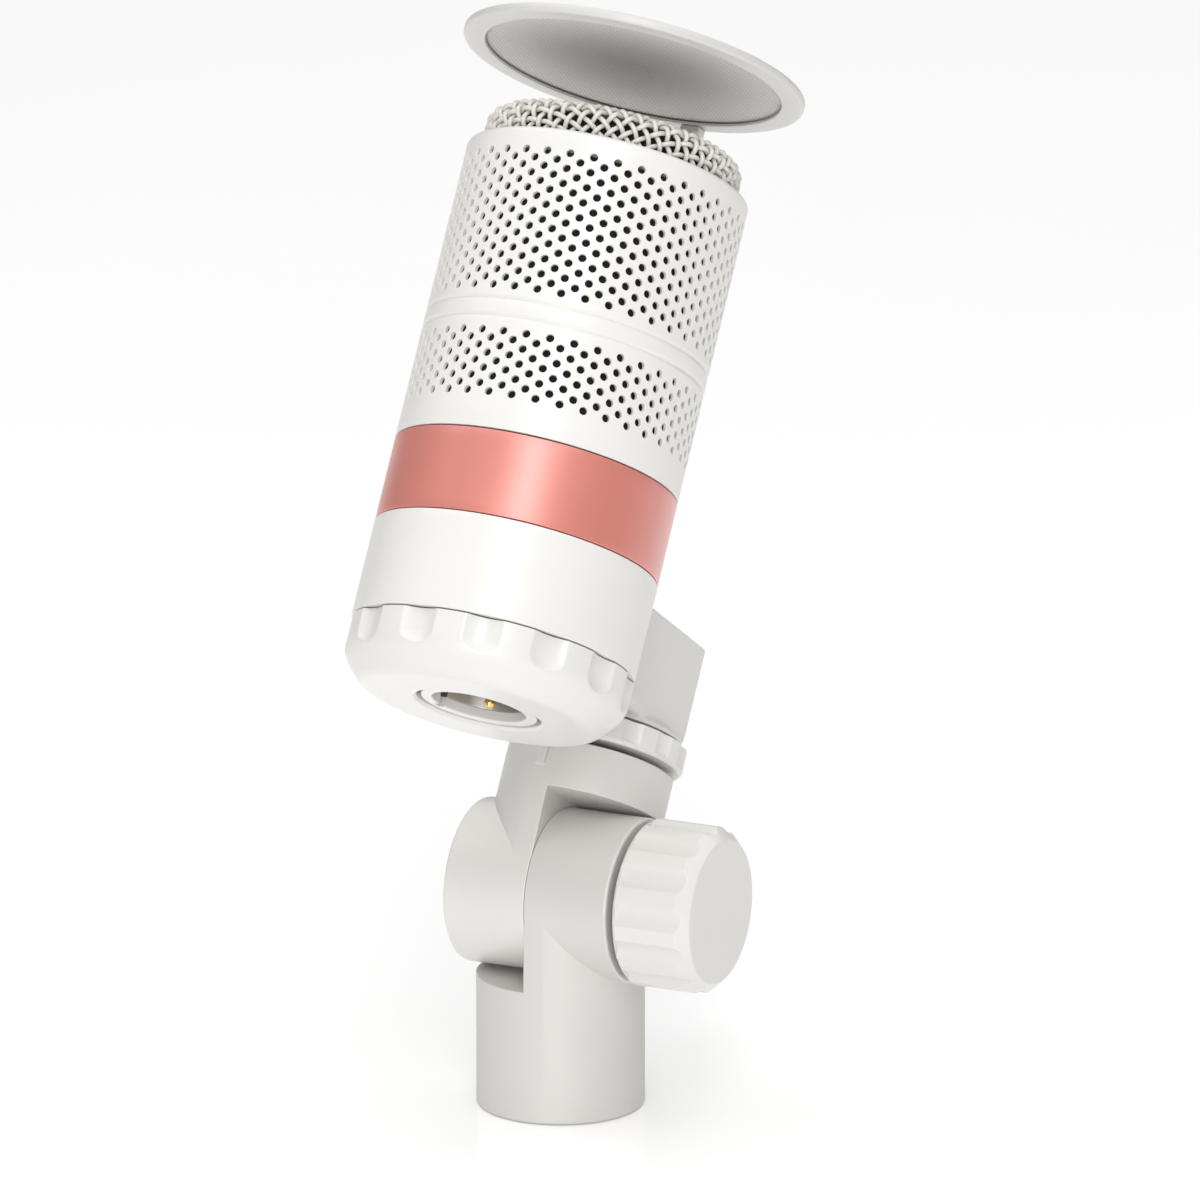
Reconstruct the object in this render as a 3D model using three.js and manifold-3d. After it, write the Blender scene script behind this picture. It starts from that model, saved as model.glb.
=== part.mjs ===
// Desktop microphone: a large cylindrical broadcast microphone on an offset tilting swivel, with a
// detachable round pop filter. Millimetres, +Z up. The origin is the centre of the base's underside,
// on the stand-thread axis. The tilt hinge runs along X (clamp knob on +X); -Y is the front.
import * as THREE from "three";
import { mergeVertices } from "three/addons/utils/BufferGeometryUtils.js";
import Module from "manifold-3d";

// ---------------------------------------------------------------- driving dimensions
const GAP = 0.3; // running clearance between neighbouring pieces
// swivel
const HINGE_Z = 44.7; // height of the tilt axis above the base's underside
const TILT = 31.12; // lean of the upper half from vertical in the rest position, degrees
const BASE_R = 17.2; // radius of the base column and of the swivel head
const BARREL_R = 16.85; // radius of the two hinge barrels
const CUT = 17.2; // distance from the tilt axis to the shoulder each half turns under
const BARREL_HALF = 18.35; // half length of the two barrels together
const HEAD_TOP = 27.1; // top of the swivel head, measured from the tilt axis
const THREAD_R = 7.94; // stand thread, 5/8 inch nominal
const THREAD_DEPTH = 19.5;
const BOLT_R = 3.0; // clamp bolt
// clamp knob
const KNOB_BACK = 19.65, KNOB_RIM = 33.65, KNOB_FACE = 36.2;
const KNOB_R = 17.05, KNOB_FACE_R = 14.65, KNOB_FLUTES = 13, KNOB_PHASE = 7.1;
// locking ring on the swivel head
const RING_LOW = 28.45, RING_HIGH = 33.75, RING_R = 18.55, RING_FLUTES = 14, RING_PHASE = 47.5;
// offset block
const NECK_LOW = 34.5, BLOCK_LOW = 37.05, BLOCK_HIGH = 56.6, BLOCK_HALF = 13.9, BLOCK_BACK = 13.15;
// microphone body; stations run along its own axis from the height of the tilt axis
const OFFSET = 55.75; // between the neck axis and the microphone's axis
const MIC_R = 29.05;
const CAP_FACE = 21.1, CAP_R = 28.95, CAP_SEAM = 33.6, CAP_FLUTES = 13, CAP_PHASE = 20.9;
const BARREL_LOW = 33.9, BARREL_HIGH = 53.9;
const BAND_LOW = 54.2, BAND_HIGH = 71.25;
const SHELL_LOW = 71.55, SHELL_HIGH = 134.75, SHELL_SHOULDER = 2.45, SHELL_IN = 27.5;
const GROOVES = [94.75, 98.4];
const DOME_R = 26.5, DOME_LOW = 129.6, DOME_WALL = 138.2, DOME_TOP = 143.7;
// XLR inlet
const XLR_RIM = 21.75, XLR_IN = 9.6, XLR_OUT = 12.0, XLR_FLOOR = 37.2, PIN_TIP = 24.0, PIN_R = 1.1;
// pop filter
const POP_LOW = 156.65, POP_THICK = 2.0, POP_R = 35.3, POP_MESH_R = 30.7;
const ARM_IN = 31.0, ARM_OUT = 35.0, ARM_HALF = 1.2, ARM_FOOT = 45.0;

// ---------------------------------------------------------------- helpers
const wasm = await Module();
wasm.setup();
const rad = (d) => (d * Math.PI) / 180;

// closed surface -> solid whose faces point out
function solid(geometry) {
  let g = geometry.index ? geometry.toNonIndexed() : geometry.clone();
  g.deleteAttribute("normal");
  g.deleteAttribute("uv");
  g = mergeVertices(g, 1e-4);
  const tri = [];
  const a = g.index.array;
  for (let i = 0; i < a.length; i += 3)
    if (a[i] !== a[i + 1] && a[i + 1] !== a[i + 2] && a[i] !== a[i + 2]) tri.push(a[i], a[i + 1], a[i + 2]);
  const make = (t) =>
    new wasm.Manifold(new wasm.Mesh({ numProp: 3, vertProperties: new Float32Array(g.attributes.position.array), triVerts: new Uint32Array(t) }));
  let m = make(tri);
  if (m.volume() < 0) {
    for (let i = 0; i < tri.length; i += 3) [tri[i + 1], tri[i + 2]] = [tri[i + 2], tri[i + 1]];
    m = make(tri);
  }
  return m;
}
function geometryOf(m) {
  const mesh = m.getMesh();
  const n = mesh.numProp, v = new Float32Array(mesh.numVert * 3);
  for (let i = 0; i < mesh.numVert; i++) v.set(mesh.vertProperties.subarray(i * n, i * n + 3), i * 3);
  const g = new THREE.BufferGeometry();
  g.setAttribute("position", new THREE.BufferAttribute(v, 3));
  g.setIndex(new THREE.BufferAttribute(new Uint32Array(mesh.triVerts), 1));
  g.computeVertexNormals();
  return g;
}
// closed [radius, height] profile turned about Z
function turn(profile, segments = 36) {
  const pts = profile.map(([r, z]) => new THREE.Vector2(r, z));
  const onAxis = profile[0][0] < 1e-9 && profile[profile.length - 1][0] < 1e-9;
  if (!onAxis) pts.push(pts[0].clone());
  return solid(new THREE.LatheGeometry(pts, segments).rotateX(Math.PI / 2));
}
const ring = (ri, ro, z0, z1, seg = 36) => turn([[ri, z0], [ro, z0], [ro, z1], [ri, z1]], seg);
const disc = (r, z0, z1, seg = 36) => turn([[0, z0], [r, z0], [r, z1], [0, z1]], seg);
const box = (x0, x1, y0, y1, z0, z1) =>
  solid(new THREE.BoxGeometry(x1 - x0, y1 - y0, z1 - z0).translate((x0 + x1) / 2, (y0 + y1) / 2, (z0 + z1) / 2));
// outline in XY pulled up from z0 to z1
function pull(points, z0, z1) {
  const s = new THREE.Shape(points.map(([x, y]) => new THREE.Vector2(x, y)));
  return solid(new THREE.ExtrudeGeometry(s, { depth: z1 - z0, bevelEnabled: false, steps: 1 }).translate(0, 0, z0));
}
// turn a solid's Z axis onto +X (its X goes to -Z)
const toX = (m) => m.rotate([0, 90, 0]);
const arc = (cx, cy, r, a0, a1, n) =>
  Array.from({ length: n + 1 }, (_, i) => {
    const a = rad(a0 + ((a1 - a0) * i) / n);
    return [cx + r * Math.cos(a), cy + r * Math.sin(a)];
  });
const joinAll = (list) => list.reduce((a, b) => a.add(b));
// two outlines with the same number of points, one above the other, joined by straight walls
function loft(low, z0, high, z1) {
  const n = low.length, v = [], f = [];
  for (const [x, y] of low) v.push(x, y, z0);
  for (const [x, y] of high) v.push(x, y, z1);
  v.push(0, 0, z0, 0, 0, z1);
  for (let i = 0; i < n; i++) {
    const j = (i + 1) % n;
    f.push(i, j, n + j, i, n + j, n + i, 2 * n, j, i, 2 * n + 1, n + i, n + j);
  }
  const g = new THREE.BufferGeometry();
  g.setAttribute("position", new THREE.BufferAttribute(new Float32Array(v), 3));
  g.setIndex(f);
  return solid(g);
}

const finish = {
  white: { color: 0xe9e6e1, roughness: 0.42, metalness: 0.0 },
  stone: { color: 0xd6d2cc, roughness: 0.55, metalness: 0.0 },
  coral: { color: 0xd98478, roughness: 0.35, metalness: 0.35 },
  steel: { color: 0x9b9b9a, roughness: 0.3, metalness: 1.0 },
  brass: { color: 0xc79a4b, roughness: 0.3, metalness: 1.0 },
  black: { color: 0x1b1b1c, roughness: 0.7, metalness: 0.0 },
  rubber: { color: 0x262626, roughness: 0.85, metalness: 0.0 },
  foam: { color: 0x0f0f10, roughness: 1.0, metalness: 0.0 },
  mesh: { color: 0x8f8c87, roughness: 0.8, metalness: 0.0 },
  board: { color: 0x1f5a3a, roughness: 0.5, metalness: 0.0 },
  film: { color: 0xc9b98c, roughness: 0.25, metalness: 0.0 },
};
function piece(group, name, m, look) {
  const mesh = new THREE.Mesh(geometryOf(m), new THREE.MeshStandardMaterial({ ...finish[look] }));
  mesh.name = name;
  group.add(mesh);
  return mesh;
}

const root = new THREE.Group();
const head = new THREE.Group(); // leans with the upper half: local Z is the neck axis, local -Y the front
head.position.set(0, 0, HINGE_Z);
head.rotation.x = -rad(TILT);
root.add(head);
const mic = new THREE.Group(); // local Z is the microphone's own axis
mic.position.set(0, -OFFSET, 0);
head.add(mic);

// ---------------------------------------------------------------- swivel, lower half
// side outline of a half: a leg under the hinge barrel, drawn in (y, z) about the tilt axis
const legOutline = [...arc(0, 0, BARREL_R, 0, 180, 16), [-BASE_R - 0.1, -CUT], [-BASE_R - 0.1, -CUT - 40], [BASE_R + 0.1, -CUT - 40], [BASE_R + 0.1, -CUT]];
// the outline pulled along X between two planes
function leg(x0, x1) {
  // shape drawn in XY then stood up so that drawn x -> y and drawn y -> z
  return pull(legOutline, x0, x1).rotate([90, 0, 90]);
}
const barrelEnd = (sign) => {
  // hinge barrel from the split to its rounded end
  const b = 0.6;
  const p = [[0, GAP / 2], [BARREL_R, GAP / 2], [BARREL_R, BARREL_HALF - b], [BARREL_R - 0.18, BARREL_HALF - 0.18], [BARREL_R - b, BARREL_HALF], [0, BARREL_HALF]];
  const m = toX(turn(p, 36));
  return sign > 0 ? m : m.mirror([1, 0, 0]);
};
{
  const column = turn([[0, 0], [BASE_R - 0.5, 0], [BASE_R, 0.5], [BASE_R, HINGE_Z], [0, HINGE_Z]], 40);
  let m = column.intersect(leg(-30, 30).translate([0, 0, HINGE_Z]));
  m = m.subtract(box(-40, GAP / 2, -40, 40, HINGE_Z - CUT, HINGE_Z + 40));
  m = m.add(barrelEnd(1).translate([0, 0, HINGE_Z]));
  m = m.subtract(toX(disc(BOLT_R + 0.4, -1, 30, 20)).translate([0, 0, HINGE_Z])); // bolt bore
  m = m.subtract(toX(disc(13.0, -1, 1.0, 20)).translate([0, 0, HINGE_Z])); // friction disc seat
  m = m.subtract(disc(9.95, -1, THREAD_DEPTH + 1.0, 24)); // thread insert seat
  piece(root, "swivel_base", m, "stone");
}
piece(root, "stand_thread_insert", turn([[THREAD_R, 0.2], [9.6, 0.2], [9.6, THREAD_DEPTH + 0.5], [THREAD_R - 2.6, THREAD_DEPTH + 0.5], [THREAD_R - 2.6, THREAD_DEPTH - 0.9], [THREAD_R, THREAD_DEPTH - 0.9]], 20), "brass");
piece(root, "friction_disc", toX(ring(BOLT_R + 0.5, 12.5, -0.65, 0.65, 20)).translate([0, 0, HINGE_Z]), "black");

// clamp knob, its thrust washer and bolt
{
  const washer = toX(ring(BOLT_R + 0.4, 11.0, BARREL_HALF + GAP, KNOB_BACK - GAP, 20));
  piece(root, "knob_washer", washer.translate([0, 0, HINGE_Z]), "steel");
  const b = 0.35;
  let k = toX(turn([[0, KNOB_BACK], [KNOB_R - 0.7, KNOB_BACK], [KNOB_R, KNOB_BACK + 0.7], [KNOB_R, KNOB_RIM], [KNOB_FACE_R + b, KNOB_FACE - 0.12], [KNOB_FACE_R - b, KNOB_FACE], [0, KNOB_FACE]], 39));
  const cutR = 5.2, depth = 0.75; // shallow round-bottomed flutes with rounded outer ends
  const half = KNOB_R + cutR - depth;
  const tools = [];
  for (let i = 0; i < KNOB_FLUTES; i++) {
    const a = rad(KNOB_PHASE + (360 / KNOB_FLUTES) * i); // from -Y towards +Z
    const tool = turn([[0, KNOB_BACK - 2], [cutR, KNOB_BACK - 2], [cutR, KNOB_RIM - 1.6], [cutR * 0.93, KNOB_RIM - 0.3], [cutR * 0.72, KNOB_RIM + 0.9], [0, KNOB_RIM + 1.2]], 12);
    tools.push(toX(tool).translate([0, -half * Math.cos(a), half * Math.sin(a)]));
  }
  k = k.subtract(joinAll(tools));
  k = k.subtract(toX(disc(BOLT_R + 0.3, KNOB_BACK - 1, KNOB_BACK + 3.6, 20))).subtract(toX(solid(new THREE.CylinderGeometry(6.3, 6.3, 6, 6).rotateX(Math.PI / 2)).translate([0, 0, KNOB_BACK + 6.5])));
  piece(root, "clamp_knob", k.translate([0, 0, HINGE_Z]), "white");
  const shank = disc(BOLT_R, -14.0, KNOB_BACK + 4.0, 20);
  const hex = solid(new THREE.CylinderGeometry(5.9, 5.9, 5.2, 6).rotateX(Math.PI / 2)).translate([0, 0, KNOB_BACK + 6.45]);
  piece(root, "clamp_bolt", toX(shank.add(hex)).translate([0, 0, HINGE_Z]), "steel");
}

// ---------------------------------------------------------------- swivel, upper half (in the leaning frame)
{
  const column = turn([[0, 0], [BASE_R, 0], [BASE_R, HEAD_TOP - 0.35], [BASE_R - 0.35, HEAD_TOP], [0, HEAD_TOP]], 40);
  let m = column.intersect(leg(-30, 30).rotate([180, 0, 0]));
  m = m.subtract(box(-GAP / 2, 40, -40, 40, -5, CUT));
  m = m.add(barrelEnd(-1));
  m = m.subtract(toX(disc(BOLT_R + 0.4, -30, 1, 20)));
  m = m.subtract(toX(disc(13.0, -1.0, 1, 20)));
  m = m.subtract(toX(solid(new THREE.CylinderGeometry(6.4, 6.4, 7, 6).rotateX(Math.PI / 2)).translate([0, 0, -12.5]))); // nut pocket
  m = m.subtract(toX(disc(10.4, -BARREL_HALF - 1, -BARREL_HALF + 2.6, 24))); // plug seat
  m = m.subtract(disc(4.4, 20.0, HEAD_TOP + 1, 20)); // stud bore
  // short index rib under the locking ring
  const rib = box(-1.25, 1.25, -BASE_R - 0.75, -BASE_R + 1.2, 21.3, HEAD_TOP - 0.1).rotate([0, 0, -9.2]);
  m = m.add(rib);
  piece(head, "swivel_head", m, "stone");
}
{
  const nut = solid(new THREE.CylinderGeometry(6.0, 6.0, 5.4, 6).rotateX(Math.PI / 2)).subtract(disc(BOLT_R + 0.35, -5, 5, 20));
  piece(head, "clamp_nut", toX(nut.translate([0, 0, -12.3])), "steel");
  piece(head, "barrel_plug", toX(turn([[0, -BARREL_HALF + 0.35], [9.6, -BARREL_HALF + 0.35], [10.0, -BARREL_HALF + 0.8], [10.0, -BARREL_HALF + 2.3], [0, -BARREL_HALF + 2.3]], 24)), "stone");
}
piece(head, "neck_stud", turn([[0, 20.4], [4.0, 20.4], [4.0, HEAD_TOP + 0.35], [6.4, HEAD_TOP + 0.35], [6.4, RING_LOW + 0.3], [4.0, RING_LOW + 0.3], [4.0, 50.6], [0, 50.6]], 16), "steel");
piece(head, "stud_nut", solid(new THREE.CylinderGeometry(6.6, 6.6, 4.6, 6).rotateX(Math.PI / 2)).subtract(disc(4.35, -5, 5, 16)).translate([0, 0, 46.8]), "steel");
piece(head, "neck_wave_washer", ring(6.8, 12.5, RING_HIGH - 0.65, NECK_LOW - GAP, 20), "steel");
{
  // fluted locking ring: alternate lands and shallow hollows, chamfered underneath
  let m = turn([[7.0, RING_LOW], [RING_R - 0.5, RING_LOW], [RING_R, RING_LOW + 0.7], [RING_R, RING_HIGH - 0.35], [RING_R - 0.35, RING_HIGH], [13.2, RING_HIGH], [13.2, RING_HIGH - 1.0], [7.0, RING_HIGH - 1.0]], 42);
  const cutR = 5.0, depth = 0.45, half = RING_R + cutR - depth;
  const tools = [];
  for (let i = 0; i < RING_FLUTES; i++) {
    const a = rad(RING_PHASE + (360 / RING_FLUTES) * i); // from the front (-Y) towards +X
    tools.push(disc(cutR, RING_LOW + 1.0, RING_HIGH + 1, 10).translate([half * Math.sin(a), -half * Math.cos(a), 0]));
  }
  m = m.subtract(joinAll(tools));
  piece(head, "locking_ring", m, "white");
}

// ---------------------------------------------------------------- offset block
{
  const r = 2.6;
  const outline = (x, y0, y1) => [...arc(x - r, y1 - r, r, 0, 90, 5), ...arc(-x + r, y1 - r, r, 90, 180, 5), [-x, y0], [x, y0]];
  const shape = outline(BLOCK_HALF, -OFFSET + 20, BLOCK_BACK);
  const body = pull(shape, BLOCK_LOW, BLOCK_HIGH - 0.4).add(pull(outline(BLOCK_HALF - 0.35, -OFFSET + 20, BLOCK_BACK - 0.35), BLOCK_LOW, BLOCK_HIGH));
  // flared foot: a round seat blended into the rectangular block
  const n = 40, round = [], square = [];
  for (let i = 0; i < n; i++) {
    const a = rad((360 / n) * i), c = Math.cos(a), d = Math.sin(a);
    round.push([(BASE_R - 0.3) * c, (BASE_R - 0.3) * d]);
    // where a ray at this angle leaves the block's outline, its back corners rounded
    let q = Math.min(BLOCK_HALF / Math.abs(c || 1e-9), d > 0 ? BLOCK_BACK / d : 26.2 / Math.abs(d || 1e-9));
    if (d > 0) {
      const kx = BLOCK_HALF - r, ky = BLOCK_BACK - r;
      if (q * Math.abs(c) > kx && q * d > ky) {
        const h = Math.abs(c) * kx + d * ky;
        q = h + Math.sqrt(Math.max(0, h * h - (kx * kx + ky * ky - r * r)));
      }
    }
    square.push([q * c * 0.999, q * d * 0.999]);
  }
  const seat = disc(BASE_R - 0.3, NECK_LOW, NECK_LOW + 0.7, n);
  let m = body.add(loft(round, NECK_LOW + 0.6, square, BLOCK_LOW + 0.3)).add(seat);
  m = m.subtract(disc(MIC_R + GAP + 0.15, 0, 90, 60).translate([0, -OFFSET, 0])); // hollow face that fits the barrel
  m = m.subtract(disc(4.4, 0, 52.5, 20)); // stud bore, closed above the nut
  m = m.subtract(box(-8, 8, -40, 8, 44.2, 52.5)); // pocket for the stud nut, open towards the barrel
  m = m.subtract(box(-ARM_HALF - GAP, ARM_HALF + GAP, -OFFSET + ARM_IN - GAP, -OFFSET + ARM_OUT + GAP, 52.0, 60)); // slot for the pop filter's arm
  m = m.subtract(box(-ARM_HALF - GAP, ARM_HALF + GAP, -OFFSET + ARM_IN - GAP, -OFFSET + ARM_OUT + GAP, ARM_FOOT - 0.5, 53));
  for (const s of [-1, 1]) m = m.subtract(disc(1.5, 0, 12, 12).rotate([-90, 0, 0]).translate([s * 10.9, -OFFSET + 26, 46])); // screw holes
  piece(head, "offset_block", m, "stone");
}
for (const s of [-1, 1]) {
  const screw = turn([[0, 0], [2.6, 0], [2.6, 1.6], [1.2, 1.6], [1.2, 10.5], [0, 10.5]], 10).rotate([-90, 0, 0]);
  piece(mic, s < 0 ? "mount_screw_left" : "mount_screw_right", screw.translate([s * 10.9, 21.8, 46]), "steel");
}

// ---------------------------------------------------------------- microphone body
{
  // tail cap: fluted grip, rounded chamfer, flat face with the socket opening
  const p = [[12.8, CAP_FACE], [21.6, CAP_FACE], [23.9, CAP_FACE + 0.8], [26.6, CAP_FACE + 3.0], [28.4, CAP_FACE + 5.7], [CAP_R, CAP_FACE + 8.6], [CAP_R, CAP_SEAM], [25.8, CAP_SEAM], [25.8, CAP_FACE + 4.2], [24.2, CAP_FACE + 2.9], [12.8, CAP_FACE + 2.9]];
  let m = turn(p, 39);
  const cutR = 7.2, half = CAP_R + cutR - 1.1;
  const tools = [];
  for (let i = 0; i < CAP_FLUTES; i++) {
    const a = rad(CAP_PHASE + (360 / CAP_FLUTES) * i); // from the front (-Y) towards +X
    const tool = turn([[0, CAP_FACE + 4.2], [4.6, CAP_FACE + 4.7], [cutR, CAP_FACE + 8.0], [cutR, CAP_SEAM + 2], [0, CAP_SEAM + 2]], 12);
    tools.push(tool.translate([half * Math.sin(a), -half * Math.cos(a), 0]));
  }
  m = m.subtract(joinAll(tools));
  piece(mic, "tail_cap", m, "white");
}
piece(mic, "cap_seal_ring", ring(23.9, 25.2, CAP_FACE + 4.0, CAP_FACE + 5.0, 24), "rubber");
{
  let m = turn([[23.5, 26.6], [25.4, 26.6], [25.4, BARREL_LOW], [MIC_R, BARREL_LOW], [MIC_R, BARREL_HIGH], [27.2, BARREL_HIGH], [27.2, 36.4], [23.5, 36.4]], 32);
  for (const s of [-1, 1]) m = m.subtract(disc(1.6, 20, 34, 12).rotate([-90, 0, 0]).translate([s * 10.9, 0, 46]));
  piece(mic, "lower_barrel", m, "white");
}
piece(mic, "colour_band", turn([[27.2, BAND_LOW], [MIC_R - 0.25, BAND_LOW], [MIC_R, BAND_LOW + 0.25], [MIC_R, BAND_HIGH - 0.25], [MIC_R - 0.25, BAND_HIGH], [27.2, BAND_HIGH]], 32), "coral");
{
  // the sleeve starts above the mounting screws' heads
  piece(mic, "joint_sleeve", ring(25.0, 26.85, 49.6, 78.0, 28), "black");
}
{
  const g = 0.55, d = 0.4, s = SHELL_SHOULDER, t = SHELL_HIGH;
  const outer = [[MIC_R, SHELL_LOW]];
  for (const z of GROOVES) outer.push([MIC_R, z - g], [MIC_R - d, z], [MIC_R, z + g]);
  const shoulder = arc(MIC_R - s, t - s, s, 0, 90, 2);
  piece(mic, "perforated_shell", turn([...outer, ...shoulder, [26.8, t - 0.25], [26.8, t - 2.6], [SHELL_IN, t - 2.9], [SHELL_IN, SHELL_LOW]], 32), "white");
}
{
  // woven dome: a shallow cap on a short wall, with a flange kept under the shell's lip
  const rc = 3.4, w = 1.4;
  const out = [[27.2, DOME_LOW], [27.2, 131.6], [DOME_R, 131.8], ...arc(DOME_R - rc, DOME_WALL, rc, 0, 78, 2), [12, DOME_TOP - 0.4], [0, DOME_TOP]];
  const inn = [[0, DOME_TOP - w], [12, DOME_TOP - w - 0.4], ...arc(DOME_R - rc, DOME_WALL - 0.2, rc - w, 78, 0, 2), [DOME_R - w, DOME_LOW]];
  piece(mic, "grille_dome", turn([...out, ...inn].reverse(), 26), "white");
}
piece(mic, "dome_ring", ring(24.8, 27.2, 126.8, DOME_LOW - GAP, 24), "black");
piece(mic, "shell_foam", ring(25.7, 27.2, 78.6, 126.4, 24), "foam");
piece(mic, "dome_foam", turn([[0, 135.8], [21, 135.8], [21, 130.2], [24.5, 130.2], [24.5, 137.5], [22.6, 139.3], [12, 141.2], [0, 141.8]], 24), "foam");

// capsule on its shock rings, inside the inner frame
piece(mic, "inner_frame", turn([[21.5, 78.6], [25.3, 78.6], [25.3, 122], [23.6, 122], [23.6, 80.6], [21.5, 80.6]], 20), "black");
piece(mic, "shock_ring_lower", turn([[18.1, 101], [20.5, 100.3], [22.9, 101], [22.9, 103.6], [20.5, 103.0], [18.1, 103.8]], 16), "rubber");
piece(mic, "shock_ring_upper", turn([[18.1, 115], [20.5, 114.3], [22.9, 115], [22.9, 117.6], [20.5, 117.0], [18.1, 117.8]], 16), "rubber");
{
  let m = turn([[0, 98], [17.5, 98], [17.5, 121], [16.0, 121], [16.0, 100], [0, 100]], 20);
  for (const s of [-1, 1]) m = m.subtract(disc(0.95, 95, 103, 10).translate([s * 6, 0, 0]));
  piece(mic, "capsule_housing", m, "steel");
}
piece(mic, "magnet_yoke", turn([[0, 100.35], [15.6, 100.35], [15.6, 113.3], [12.4, 113.3], [12.4, 102.9], [0, 102.9]], 18), "steel");
piece(mic, "magnet", disc(8.6, 103.2, 109.8, 20), "steel");
piece(mic, "pole_piece", disc(8.4, 110.1, 113.3, 20), "steel");
piece(mic, "voice_coil", ring(9.0, 9.9, 110.1, 116.3, 18), "brass");
piece(mic, "diaphragm", turn([[0, 119.0], [4, 118.7], [9.4, 116.9], [15.5, 116.7], [15.5, 117.1], [9.6, 117.3], [4.1, 119.15], [0, 119.45]], 16), "film");
{
  let m = turn([[0, 119.9], [15.6, 119.9], [15.6, 121.4], [0, 121.4]], 18);
  for (let i = 0; i < 6; i++) m = m.subtract(disc(1.7, 118, 123, 8).translate([9.5 * Math.cos(rad(60 * i)), 9.5 * Math.sin(rad(60 * i)), 0]));
  piece(mic, "capsule_front", m, "black");
}
{
  let m = disc(22, 50.4, 52.0, 28).subtract(box(15, 23, -5, 5, 49, 53));
  for (const s of [-1, 1]) m = m.subtract(disc(0.95, 49, 53, 10).translate([s * 6, 0, 0]));
  piece(mic, "circuit_board", m, "board");
}
for (const s of [-1, 1]) {
  const path = new THREE.CatmullRomCurve3([new THREE.Vector3(s * 6, 0, 51.2), new THREE.Vector3(s * 6, 0, 58), new THREE.Vector3(s * 9, 2, 70), new THREE.Vector3(s * 10, -2, 84), new THREE.Vector3(s * 6, 0, 94), new THREE.Vector3(s * 6, 0, 99.6)]);
  const section = new THREE.Shape(arc(0, 0, 0.6, 0, 360, 6).slice(0, 6).map(([x, y]) => new THREE.Vector2(x, y)));
  piece(mic, s < 0 ? "capsule_lead_cold" : "capsule_lead_hot", solid(new THREE.ExtrudeGeometry(section, { steps: 14, bevelEnabled: false, extrudePath: path })), s < 0 ? "black" : "coral");
}

// ---------------------------------------------------------------- XLR inlet
{
  // light flange that shows in the cap's opening, with the keyway
  let m = turn([[XLR_IN, XLR_RIM], [XLR_OUT - 0.3, XLR_RIM], [XLR_OUT, XLR_RIM + 0.3], [XLR_OUT, 23.8], [XLR_IN, 23.8]], 28);
  m = m.subtract(box(-XLR_IN - 1.3, -8, -1.2, 1.2, 20, 30).rotate([0, 0, -13]));
  piece(mic, "xlr_flange", m, "white");
  let t = ring(XLR_IN, 11.8, 24.1, 45.0, 28).subtract(box(-XLR_IN - 1.3, -8, -1.2, 1.2, 20, 30).rotate([0, 0, -13]));
  piece(mic, "xlr_tube", t, "steel");
}
{
  const pins = [[0, 4.3], [-3.75, -2.15], [3.75, -2.15]];
  let m = disc(XLR_IN - GAP - 0.1, XLR_FLOOR, 44.6, 28);
  for (const [x, y] of pins) m = m.subtract(disc(PIN_R + GAP, 30, 50, 10).translate([x, y, 0]));
  piece(mic, "xlr_insulator", m, "black");
  pins.forEach(([x, y], i) => piece(mic, "xlr_pin_" + (i + 1), turn([[0, PIN_TIP], [0.55, PIN_TIP + 0.1], [PIN_R, PIN_TIP + 0.8], [PIN_R, 48.2], [0, 48.2]], 12).translate([x, y, 0]), "brass"));
}
{
  let m = ring(12.1, 23.2, 29.0, 31.0, 20);
  for (const s of [-1, 1]) m = m.subtract(disc(1.5, 28, 32, 10).translate([s * 17.5, 0, 0]));
  piece(mic, "tail_plate", m, "steel");
  for (const s of [-1, 1]) piece(mic, s < 0 ? "plate_screw_left" : "plate_screw_right", turn([[0, 27.1], [2.5, 27.1], [2.5, 28.7], [1.2, 28.7], [1.2, 34.5], [0, 34.5]], 10).translate([s * 17.5, 0, 0]), "steel");
}

// ---------------------------------------------------------------- pop filter
{
  const t = POP_LOW, h = POP_THICK;
  let m = turn([[POP_MESH_R, t], [POP_R - 0.45, t], [POP_R, t + 0.45], [POP_R, t + h - 0.5], [POP_R - 0.5, t + h], [POP_MESH_R, t + h], [POP_MESH_R, t + 1.5], [POP_MESH_R + 1.6, t + 1.5], [POP_MESH_R + 1.6, t + 0.6], [POP_MESH_R, t + 0.6]], 36);
  piece(mic, "pop_ring", m, "white");
  piece(mic, "pop_mesh", disc(POP_MESH_R + 1.25, t + 0.9, t + 1.2, 36), "mesh");
}
{
  // flat arm down the back of the body, with a foot in the block's slot and a small clip foot above the shell
  let m = box(-ARM_HALF, ARM_HALF, ARM_IN, ARM_OUT, ARM_FOOT, POP_LOW - GAP);
  m = m.add(pull([[-2.2, ARM_IN - 0.1], [2.2, ARM_IN - 0.1], [2.2, ARM_OUT - 0.4], [-2.2, ARM_OUT - 0.4]], POP_LOW - 1.3, POP_LOW - GAP));
  piece(mic, "pop_arm", m, "white");
}

export default root;
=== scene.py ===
import math

import bmesh
import bpy
import numpy as np
from mathutils import Matrix, Vector


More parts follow.
